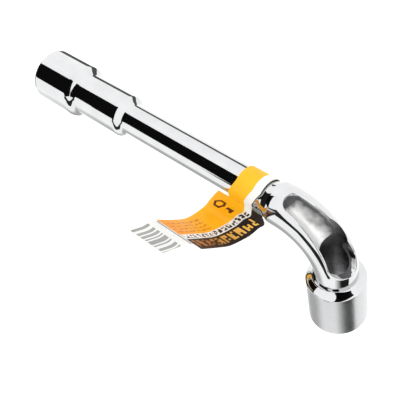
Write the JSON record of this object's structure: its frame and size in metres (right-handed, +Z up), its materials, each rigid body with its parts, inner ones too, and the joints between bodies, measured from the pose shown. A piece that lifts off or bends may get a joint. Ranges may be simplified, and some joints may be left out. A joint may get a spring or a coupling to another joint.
{
  "type": "angled socket wrench",
  "caption": "Double-ended angled socket wrench with a pierced elbow, a stepped shank and a folded paper label that turns round the shank.",
  "frame": {"origin": "on the surface under the wrench, at the middle of its outline seen from above", "axes": "+X along the long arm to its socket's mouth, +Y along the short arm to its socket's mouth, +Z up from the surface that the wrench lies on"},
  "size_m": [0.204, 0.0746, 0.0703],
  "materials": {
    "chromed_steel": "polished chrome plate, satin on the socket walls",
    "yellow_label_paper": "semi-gloss printed card",
    "white_label_paper": "semi-gloss printed card"
  },
  "bodies": {
    "wrench": {"long_socket": "chromed_steel", "collar": "chromed_steel", "shank": "chromed_steel", "elbow": "chromed_steel", "short_socket": "chromed_steel"},
    "label": {"label_band": "yellow_label_paper", "label_front_leaf": "yellow_label_paper", "label_back_leaf": "white_label_paper"}
  },
  "joints": [
    {"name": "label_turn", "type": "hinge", "parent": "wrench", "child": "label", "pos_m": [-0.04125, -0.02325, 0.014], "axis": [1, 0, 0], "continuous": true}
  ]
}
